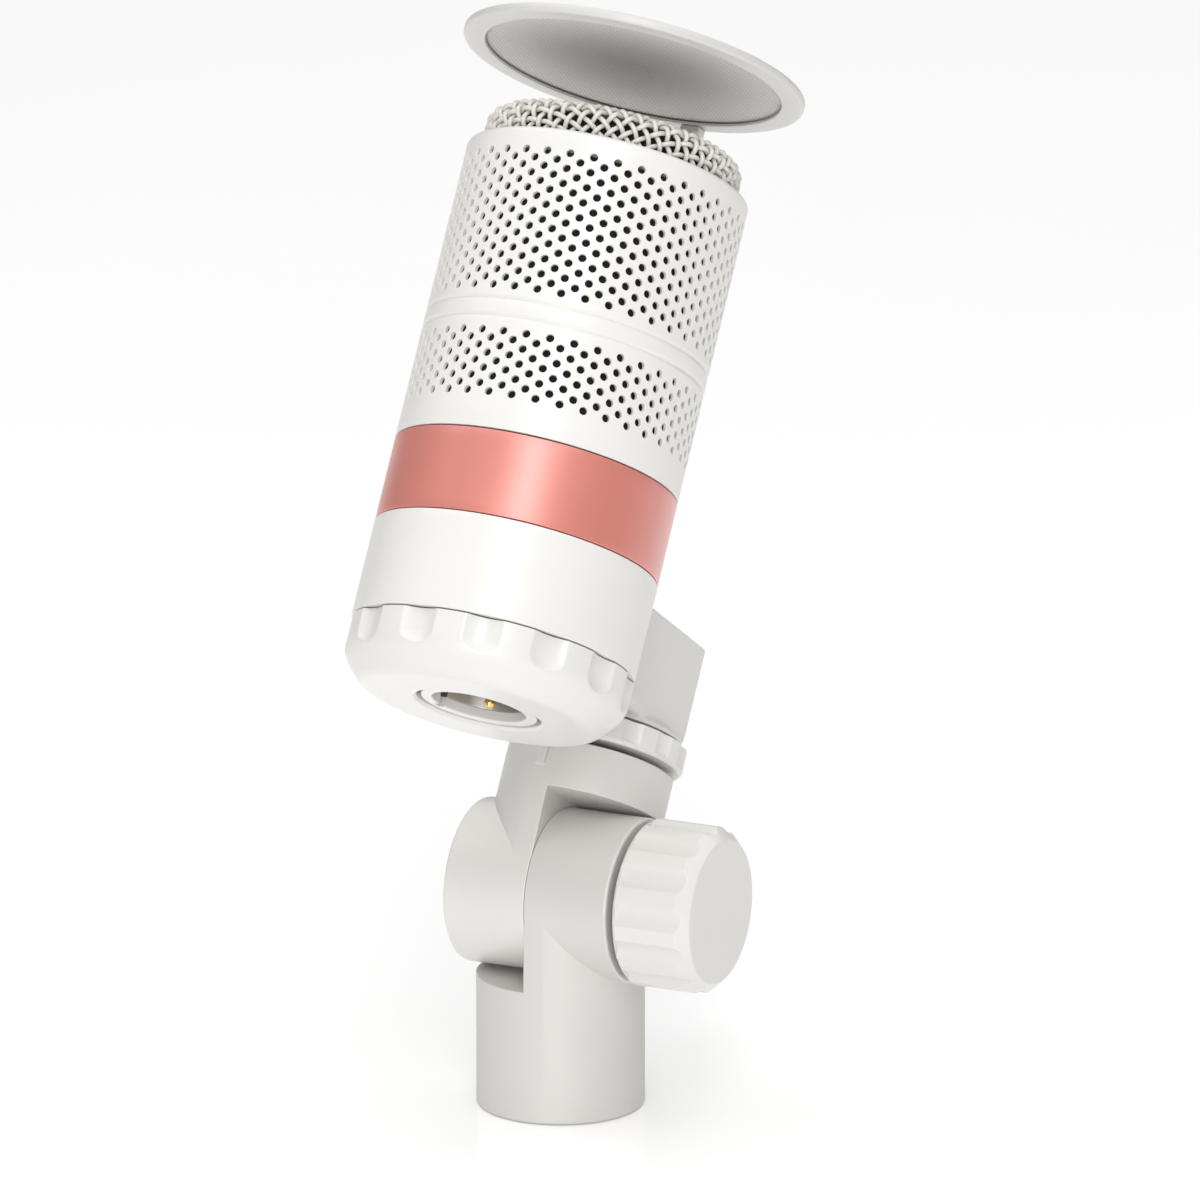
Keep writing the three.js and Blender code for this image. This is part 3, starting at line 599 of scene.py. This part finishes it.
def ring_grip():
    prof = fillet([(7.0, 28.45), (18.0, 28.45, 0.3), (18.55, 29.1, 0.15), (18.55, 33.75, 0.28), (13.2, 33.75, 0.2), (13.2, 32.75), (7.0, 32.75)], n=4)
    prof = split(prof + prof[:1], 0.3)[:-1]

    def shape(R, Z, A):
        a = (A + math.pi / 2) % (2 * math.pi)  # from -Y towards +X
        rho = np.full_like(R, 4.6)
        out = flutes(R, a, 14, math.radians(47.5), 4.6, 0.68, 18.55, rho, 0.012)
        keep = (R > 17.0) & (Z > 29.45)
        blend = np.clip((Z - 29.25) / 0.35, 0, 1)
        return np.where(R > 17.0, R + (out - R) * blend, R), Z
    return placed("ring_grip", lathe(prof, 14 * 44, shape), "head")


piece("ring_grip", ring_grip(), "locking_ring", MOULD, ["locking_ring"], sharp=40)


def cap():
    prof = fillet([(13.35, 21.1, 0.25), (23.95, 21.1, 4.15), (28.95, 26.35, 6.4), (28.95, 33.6, 0.12), (25.8, 33.6), (25.8, 25.3), (24.2, 24.0), (12.8, 24.0), (12.8, 21.7, 0.2)], n=14)
    prof = split(prof + prof[:1], 0.27)[:-1]
    prof = [p for i, p in enumerate(prof) if (p[0] > 26.2 and p[1] < 33.7) or i % 3 == 0]

    def shape(R, Z, A):
        a = (A + math.pi / 2) % (2 * math.pi)
        zc, cut = 29.2, 8.4
        rho = np.sqrt(np.maximum(cut ** 2 - np.clip(zc - Z, 0, None) ** 2 * 1.5, 0.01))
        out = flutes(R, a, 13, math.radians(20.9), cut, 1.2, 28.95, rho, 0.016)
        return np.where(R > 26.0, out, R), Z
    return placed("end_cap", lathe(prof, 13 * 50, shape), "mic")


piece("end_cap", cap(), "tail_cap", MOULD, ["tail_cap"], sharp=40)

# ------------------------------------------------------------------ offset block
def block_outline(d=0.0):
    r = 2.6
    x, y1, y0 = 13.9 - d, 13.15 - d, -30.0
    pts = fillet([(x, y0), (x, y1, r - d), (-x, y1, r - d), (-x, y0)], n=14)
    out = []
    for i, p in enumerate(pts):
        q = pts[(i + 1) % len(pts)]
        k = 24 if math.dist(p, q) > 8 else 1
        out += [(p[0] + (q[0] - p[0]) * j / k, p[1] + (q[1] - p[1]) * j / k) for j in range(k)]
    return out


def foot():
    """Round seat that sweeps up into the block in a hollow curve."""
    n = 192
    a = 2 * math.pi * np.arange(n) / n
    c, s = np.cos(a), np.sin(a)
    rnd = np.stack([17.05 * c, 17.05 * s], 1)
    hx, hy, r = 13.86, 13.11, 2.6
    q = np.minimum(hx / np.maximum(np.abs(c), 1e-9), np.where(s > 0, hy / np.maximum(s, 1e-9), 26.0 / np.maximum(-s, 1e-9)))
    kx, ky = hx - r, hy - r
    h = np.abs(c) * kx + s * ky
    corner = (s > 0) & (q * np.abs(c) > kx) & (q * s > ky)
    q = np.where(corner, h + np.sqrt(np.maximum(0, h * h - (kx * kx + ky * ky - r * r))), q)
    sq = np.stack([q * c, q * s], 1)
    rows = [(rnd * 0.985, 34.5), (rnd * 0.996, 34.56), (rnd, 34.75), (rnd, 35.2), (rnd * 0.997, 35.35)]
    for k in range(1, 13):
        t = k / 12
        e = math.sin(t * math.pi / 2) ** 0.8
        rows.append((rnd * 0.995 * (1 - e) + sq * e, 35.42 + 2.6 * (1 - math.cos(t * math.pi / 2))))
    rows.append((sq * 0.9, 40.0))
    v = np.vstack([np.column_stack([p, np.full(n, z)]) for p, z in rows])
    j = np.arange(n)
    jn = (j + 1) % n
    f = [np.stack([i * n + j, i * n + jn, (i + 1) * n + jn, (i + 1) * n + j], 1) for i in range(len(rows) - 1)]
    f += [j[::-1], (len(rows) - 1) * n + j]
    return v, f


def make_block():
    o = tool(prism(None, 37.05, 56.6, 0.5, 4, block_outline))
    combine(o, tool(foot()), "UNION")
    ring = lathe([(0, 30), (29.12, 30), (29.12, 60), (0, 60)], 256)
    combine(o, tool(ring, Matrix.Translation((0, -OFFSET, 0))), "DIFFERENCE")
    combine(o, tool(block(-1.5, 1.5, -25.05, -20.45, 44.5, 60)), "DIFFERENCE")
    combine(o, tool(lathe([(0, 33), (4.4, 33), (4.4, 43.9), (7.6, 43.9), (7.6, 51.2), (0, 51.2)], 64)), "DIFFERENCE")
    edge_bevel(o, 0.12, 60, 2)
    return finished(o, "head", "arm_block")


piece("arm_block", make_block(), "microphone", CAST, ["offset_block"], sharp=24, flat=True)

# ------------------------------------------------------------------ body sections
piece("lower_sleeve", placed("lower_sleeve", lathe(split(fillet([(27.2, 33.9), (29.05, 33.9, 0.16), (29.05, 53.9, 0.14), (27.2, 53.9)], n=4), 2.0), 256), "mic"), "microphone", WHITE, ["lower_barrel"])
piece("band_sleeve", placed("band_sleeve", lathe(split(fillet([(27.2, 54.15), (29.03, 54.15, 0.16), (29.03, 71.28, 0.16), (27.2, 71.28)], n=4), 2.0), 256), "mic"), "microphone", CORAL, ["colour_band"])


def perforated():
    R0, R1 = 29.05, 28.2
    U, SUB, H = 74, 4, math.pi / 37
    P0 = math.radians(19.4)
    hole, lip = 0.83, 0.91
    V, Q, T = [], [], []

    def add(r, phi, t):
        V.append((r * math.sin(phi), -r * math.cos(phi), t))
        return len(V) - 1

    def zone(t0, rows, pitch):
        corner, edge = {}, {}

        def corner_at(side, u, i):
            k = (side, u % U, i)
            if k not in corner:
                corner[k] = add((R0, R1)[side], P0 + (u % U) * H, t0 + i * pitch)
            return corner[k]

        def edge_at(side, a, b):
            """The corners a and b, and the points between them, in order."""
            ka, kb = (a[0] % U, a[1]), (b[0] % U, b[1])
            key = (side, ka, kb)
            if key not in edge:
                pa, pb = (P0 + a[0] * H, t0 + a[1] * pitch), (P0 + b[0] * H, t0 + b[1] * pitch)
                mid = [add((R0, R1)[side], pa[0] + (pb[0] - pa[0]) * k / SUB, pa[1] + (pb[1] - pa[1]) * k / SUB) for k in range(1, SUB)]
                edge[key] = mid
                edge[(side, kb, ka)] = mid[::-1]
            return [corner_at(side, *a)] + edge[key]

        for i in range(rows):
            for u in range(U):
                if (u + i) % 2:
                    continue
                phi, t = P0 + u * H, t0 + i * pitch
                pts = [(u + 1, i), (u, i + 1), (u - 1, i), (u, i - 1)]
                rims = []
                for side in (0, 1):
                    loop = []
                    for k in range(4):
                        loop += edge_at(side, pts[k], pts[(k + 1) % 4])
                    rims.append(loop)
                ang = [2 * math.pi * k / 16 for k in range(16)]
                rings = []
                for rad, R in ((lip, R0), (hole, R0 - 0.07), (hole, R1)):
                    rings.append([add(R, phi + rad * math.cos(q) / R0, t + rad * math.sin(q)) for q in ang])
                loops = [rims[0], *rings, rims[1]]
                for a, b in zip(loops, loops[1:]):
                    for k in range(16):
                        n = (k + 1) % 16
                        Q.append((a[k], a[n], b[n], b[k]))

        def border(side, top):
            """The zone's toothed border, as 296 points in order round the body."""
            line = []
            hi, lo = (rows, rows - 1) if top else (-1, 0)
            for u in range(U):
                a = (u, hi) if (u + hi) % 2 else (u, lo)
                b = (u + 1, hi) if (u + 1 + hi) % 2 else (u + 1, lo)
                line += edge_at(side, a, b)
            return line
        return border

    B = zone(78.93, 9, 1.588)
    A = zone(101.11, 19, 1.592)
    N = U * SUB

    def line(r, t):
        return [add(r, P0 + H * k / SUB, t) for k in range(N)]

    def strip(*rows):
        for a, b in zip(rows, rows[1:]):
            for k in range(N):
                n = (k + 1) % N
                Q.append((a[k], a[n], b[n], b[k]))

    def groove(t):
        w, d = 0.62, 0.42
        return [line(R0 - d * y, t + w * x) for x, y in ((-1.12, 0), (-0.98, 0.03), (-0.86, 0.12), (-0.2, 0.94), (0, 1), (0.2, 0.94), (0.86, 0.12), (0.98, 0.03), (1.12, 0))]

    # outside, from the lower rim to the upper lip
    low = [line(r, t) for r, t in fillet([(R1, 71.6), (R0, 71.6, 0.15), (R0, 76.9)], closed=False, n=3)]
    strip(*low, B(0, False))
    strip(B(0, True), line(R0, 93.55), *groove(94.75), *groove(98.4), line(R0, 99.3), A(0, False))
    top = fillet([(R0, 131.75), (R0, 134.75, 2.5), (26.8, 134.75, 0.18), (26.8, 132.2), (R1, 131.8)], closed=False, n=8)
    strip(A(0, True), *[line(r, t) for r, t in top], A(1, True))
    # inside
    strip(A(1, False), line(R1, 99.0), line(R1, 93.6), B(1, True))
    strip(B(1, False), line(R1, 76.9), low[0])
    return mesh_of("holed_shell", place(V, "mic"), [np.array(Q)])


piece("holed_shell", perforated(), "microphone", WHITE, ["perforated_shell"], sharp=30)


# ------------------------------------------------------------------ woven dome
def dome_profile():
    """Mid-surface of the weave from the crown outwards: (distance along it, r, z, normal r, normal z)."""
    pts = fillet([(0, 142.65), (9, 142.5, 20), (22.4, 141.55, 0), (25.45, 140.9, 3.1), (25.45, 130.6)], closed=False, n=14)
    p = np.array(split(pts, 0.2))
    s = np.concatenate([[0], np.cumsum(np.linalg.norm(np.diff(p, axis=0), axis=1))])
    t = np.gradient(p, s, axis=0)
    # smooth the direction, so that wires bend evenly
    k = np.ones(9) / 9
    tr = np.convolve(np.pad(t[:, 0], 4, "edge"), k, "valid")
    tz = np.convolve(np.pad(t[:, 1], 4, "edge"), k, "valid")
    tr[0], tz[0] = 1, 0
    ln = np.hypot(tr, tz)
    return s, p[:, 0], p[:, 1], -tz / ln, tr / ln


def woven(pitch=2.3, wire=0.5, amp=0.5, turn=26.2 + 45, step=0.4, sides=8):
    s, pr, pz, nr, nz = dome_profile()
    smax = s[-1]
    V, F, base = [], [], 0
    rot = math.radians(turn)
    count = int(smax / pitch) + 1
    for fam in (0, 1):
        for k in range(-count, count + 1):
            off = (k + 0.5) * pitch
            if abs(off) > smax - 0.4:
                continue
            half = math.sqrt(smax ** 2 - off ** 2)
            m = max(6, int(2 * half / step))
            w = np.linspace(-half, half, m)
            u, v = (np.full(m, off), w) if fam == 0 else (w, np.full(m, off))
            rad = np.hypot(u, v)
            az = np.arctan2(v, u) + rot
            r, z = np.interp(rad, s, pr), np.interp(rad, s, pz)
            a, b = np.interp(rad, s, nr), np.interp(rad, s, nz)
            wave = np.cos(math.pi * (w / pitch - 0.5)) * (1 if k % 2 == 0 else -1) * (1 if fam == 0 else -1)
            wave = np.sign(wave) * np.abs(wave) ** 0.8
            shift = amp * wave
            x, y = r * np.cos(az), r * np.sin(az)
            N = np.stack([a * np.cos(az), a * np.sin(az), b], 1)
            P = np.stack([x, y, z], 1) + N * shift[:, None]
            Tn = np.gradient(P, axis=0)
            Tn /= np.linalg.norm(Tn, axis=1)[:, None]
            N2 = N - Tn * np.sum(N * Tn, 1)[:, None]
            N2 /= np.linalg.norm(N2, axis=1)[:, None]
            Bn = np.cross(Tn, N2)
            q = 2 * math.pi * np.arange(sides) / sides
            ring = P[:, None] + wire * (np.cos(q)[None, :, None] * N2[:, None] + np.sin(q)[None, :, None] * Bn[:, None])
            V.append(ring.reshape(-1, 3))
            i, j = np.meshgrid(np.arange(m - 1), np.arange(sides), indexing="ij")
            jn = (j + 1) % sides
            F.append(base + np.stack([i * sides + j, i * sides + jn, (i + 1) * sides + jn, (i + 1) * sides + j], 2).reshape(-1, 4))
            F.append(base + np.arange(sides)[None, ::-1])
            F.append(base + (m - 1) * sides + np.arange(sides)[None])
            base += m * sides
    # a hidden hoop that the wires' ends are soldered into
    hv, hf = lathe(fillet([(24.9, 130.3, 0.3), (26.6, 130.3, 0.3), (26.6, 131.5, 0.3), (24.9, 131.5, 0.3)], n=3), 128)
    V.append(hv)
    F += [base + x for x in hf]
    return mesh_of("woven_dome", place(np.vstack(V), "mic"), F)


piece("woven_dome", woven(), "microphone", WIRE, ["grille_dome"], sharp=60, fix=True)

# dark linings behind the holes and the weave, a little uneven as foam is
def foam_wobble(R, Z, A):
    rng = np.random.default_rng(5)
    k = rng.normal(size=R.shape)
    return R + 0.06 * k, Z


holes_lining = piece("holes_lining", placed("holes_lining", lathe(split(fillet([(25.7, 76.0), (27.9, 76.0, 0.3), (27.9, 130.2, 0.3), (25.7, 130.2)], n=2), 1.2), 160, foam_wobble), "mic"), "microphone", FOAM, ["shell_foam"], sharp=0)
dome_lining = piece("dome_lining", placed("dome_lining", lathe(split([(0, 135.8), (21, 135.8), (21, 130.3), (24.4, 130.3), (24.4, 138.2), (23.0, 139.9), (12, 141.0), (0, 141.15)], 1.2), 120, foam_wobble), "mic"), "microphone", FOAM, ["dome_foam"], sharp=0)

# ------------------------------------------------------------------ XLR inlet
def notch():
    return tool(prism([(-11.4, -1.05), (-8, -1.05), (-8, 1.05), (-11.4, 1.05)], 20, 37), Matrix.Rotation(math.radians(-13), 4, "Z"))


fl = tool(lathe(fillet([(9.6, 21.75, 0.35), (11.95, 21.75, 0.3), (11.95, 23.8), (9.6, 23.8)], n=5), 128))
combine(fl, tool(prism([(-10.7, -1.0), (-8, -1.0), (-8, 1.0), (-10.7, 1.0)], 20, 30), Matrix.Rotation(math.radians(-13), 4, "Z")), "DIFFERENCE")
piece("inlet_collar", finished(fl, "mic", "inlet_collar"), "microphone", MOULD, ["xlr_flange"])
tb = tool(lathe(fillet([(9.6, 23.85, 0.15), (11.75, 23.85), (11.75, 45.0), (9.6, 45.0)], n=3), 128))
combine(tb, notch(), "DIFFERENCE")
piece("inlet_shell", finished(tb, "mic", "inlet_shell"), "microphone", GREY_METAL, ["xlr_tube"])
ins = tool(lathe(fillet([(0, 37.2), (9.2, 37.2, 0.3), (9.2, 44.6), (0, 44.6)], closed=False, n=4), 96))
for px, py in ((0, 4.3), (-3.75, -2.15), (3.75, -2.15)):
    combine(ins, tool(lathe(fillet([(0, 36), (2.2, 36), (1.45, 38.0), (1.45, 45.5), (0, 45.5)], closed=False), 40), Matrix.Translation((px, py, 0))), "DIFFERENCE")
piece("inlet_insulator", finished(ins, "mic", "inlet_insulator"), "microphone", BLACK, ["xlr_insulator"])
for i, (px, py) in enumerate(((0, 4.3), (-3.75, -2.15), (3.75, -2.15))):
    tip = 23.1 if i == 0 else 24.7
    v, f = lathe(fillet([(0, tip + 1.2), (0.42, tip + 1.2, 0.1), (0.46, tip + 0.05, 0.08), (0.8, tip, 0.3), (1.12, tip + 0.8, 0.5), (1.12, 48.2), (0, 48.2)], closed=False, n=5), 40)
    piece("contact_%d" % (i + 1), placed("contact", (v + np.array([px, py, 0]), f), "mic"), "microphone", GOLD, ["xlr_pin_%d" % (i + 1)])

# ------------------------------------------------------------------ pop filter
t0, h = 156.65, 2.0
piece("filter_hoop", placed("filter_hoop", lathe(fillet([(30.7, t0, 0.22), (35.3, t0, 0.75), (35.3, t0 + h, 0.75), (30.7, t0 + h, 0.22), (30.7, t0 + 1.55), (32.2, t0 + 1.55), (32.2, t0 + 0.55), (30.7, t0 + 0.55)], n=6), 320), "mic"), "pop_filter", POP_PAINTED_SHADE, ["pop_ring"])


def cloth_disc():
    """The cloth, stretched in its hoop and slightly slack in the middle."""
    rs = np.concatenate([np.linspace(0, 30.0, 31), [30.7, 31.3, 31.9]])
    top = [(r, t0 + 1.22 + 0.5 * (1 - min(r / 30.7, 1) ** 2)) for r in rs]
    low = [(r, z - 0.3) for r, z in top]
    return lathe(low + top[::-1], 128)


cloth = piece("filter_cloth", placed("filter_cloth", cloth_disc(), "mic"), "pop_filter", CLOTH, ["pop_mesh"], sharp=60)


def arm():
    """A flat strip with rounded edges, a shallow groove down its back and a clip foot under the hoop."""
    def inset(d):
        return fillet([(-1.2 + d, 31.0 + d, 0.4), (1.2 - d, 31.0 + d, 0.4), (1.2 - d, 35.0 - d, 0.9), (-1.2 + d, 35.0 - d, 0.9)], n=4)
    o = tool(prism(None, 45.0, t0 - 0.05, 0.3, 3, inset))

    def clip(d):
        return fillet([(-2.2 + d, 30.9 + d, 0.5), (2.2 - d, 30.9 + d, 0.5), (2.2 - d, 34.8 - d, 1.2), (-2.2 + d, 34.8 - d, 1.2)], n=5)
    combine(o, tool(prism(None, t0 - 1.5, t0 - 0.05, 0.3, 3, clip)), "UNION")
    combine(o, tool(prism(fillet([(-0.45, 34.6, 0.2), (0.45, 34.6, 0.2), (0.9, 36), (-0.9, 36)], n=3), 62, 148)), "DIFFERENCE")
    return finished(o, "mic", "filter_arm")


piece("filter_arm", arm(), "pop_filter", POP_PAINTED_SHADE, ["pop_arm"])

# ------------------------------------------------------------------ materials of the inner parts that stay as they are
inner = {
    BLACK: ["friction_disc", "joint_sleeve", "dome_ring", "inner_frame", "capsule_front", "capsule_lead_cold"],
    STEEL: ["clamp_bolt", "clamp_nut", "knob_washer", "neck_stud", "stud_nut", "neck_wave_washer", "mount_screw_left", "mount_screw_right",
            "magnet_yoke", "magnet", "pole_piece", "tail_plate", "plate_screw_left", "plate_screw_right"],
    RUBBER: ["cap_seal_ring", "shock_ring_lower", "shock_ring_upper"],
    ALLOY: ["capsule_housing"], COPPER: ["voice_coil"], RED: ["capsule_lead_hot"], BOARD: ["circuit_board"], FILM: ["diaphragm"],
}
for mat, names in inner.items():
    for n in names:
        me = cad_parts[n].data
        me.materials.clear()
        me.materials.append(mat)

# ------------------------------------------------------------------ floor and light
floor_me = bpy.data.meshes.new("floor")
floor_me.from_pydata([(-6, -4, 0), (6, -4, 0), (6, 12, 0), (-6, 12, 0)], [], [(0, 1, 2, 3)])
floor = bpy.data.objects.new("floor", floor_me)
scene.collection.objects.link(floor)
floor.location.z = -0.0002
fm, nt, p = new_mat("floor_pale")
c = nt.nodes.new("ShaderNodeTexCoord").outputs["Object"]
fn = noise(nt, c, 3, 2)
fr = ramp(nt, fn.outputs["Fac"], [(0.3, (0.85, 0.85, 0.85)), (0.7, (0.87, 0.87, 0.87))])
nt.links.new(fr.outputs["Color"], p.inputs["Base Color"])
p.inputs["Roughness"].default_value = 0.09
p.inputs["Specular IOR Level"].default_value = 0.5
p.inputs["Emission Color"].default_value = (1, 1, 1, 1)
p.inputs["Emission Strength"].default_value = 0.155
floor_me.materials.append(fm)

world = bpy.data.worlds.new("studio")
scene.world = world
world.use_nodes = True
bg = world.node_tree.nodes["Background"]
bg.inputs["Color"].default_value = (1.0, 0.995, 0.985, 1)
bg.inputs["Strength"].default_value = 0.2


def lamp(name, at, aim, size, power, colour=(1, 1, 1), size_y=None):
    d = bpy.data.lights.new(name, "AREA")
    d.shape = "RECTANGLE"
    d.size, d.size_y = size, size_y or size
    d.energy, d.color = power, colour
    o = bpy.data.objects.new(name, d)
    scene.collection.objects.link(o)
    o.location = at
    o.rotation_euler = (Vector(at) - Vector(aim)).to_track_quat("Z", "Y").to_euler()
    return o


lamp("key", (0.82, -1.55, 1.6), (0, 0, 0.14), 0.75, 16.5, (1, 0.997, 0.99), 1.1)
lamp("front_fill", (0.75, -2.5, 0.55), (0, 0, 0.08), 1.5, 27, (1, 1, 1), 0.9)
lamp("overhead", (-0.6, 1.5, 3.0), (-0.6, 1.5, 0), 7, 232, (1, 1, 1), 7)

scene.view_settings.view_transform = "Standard"
scene.view_settings.look = "None"
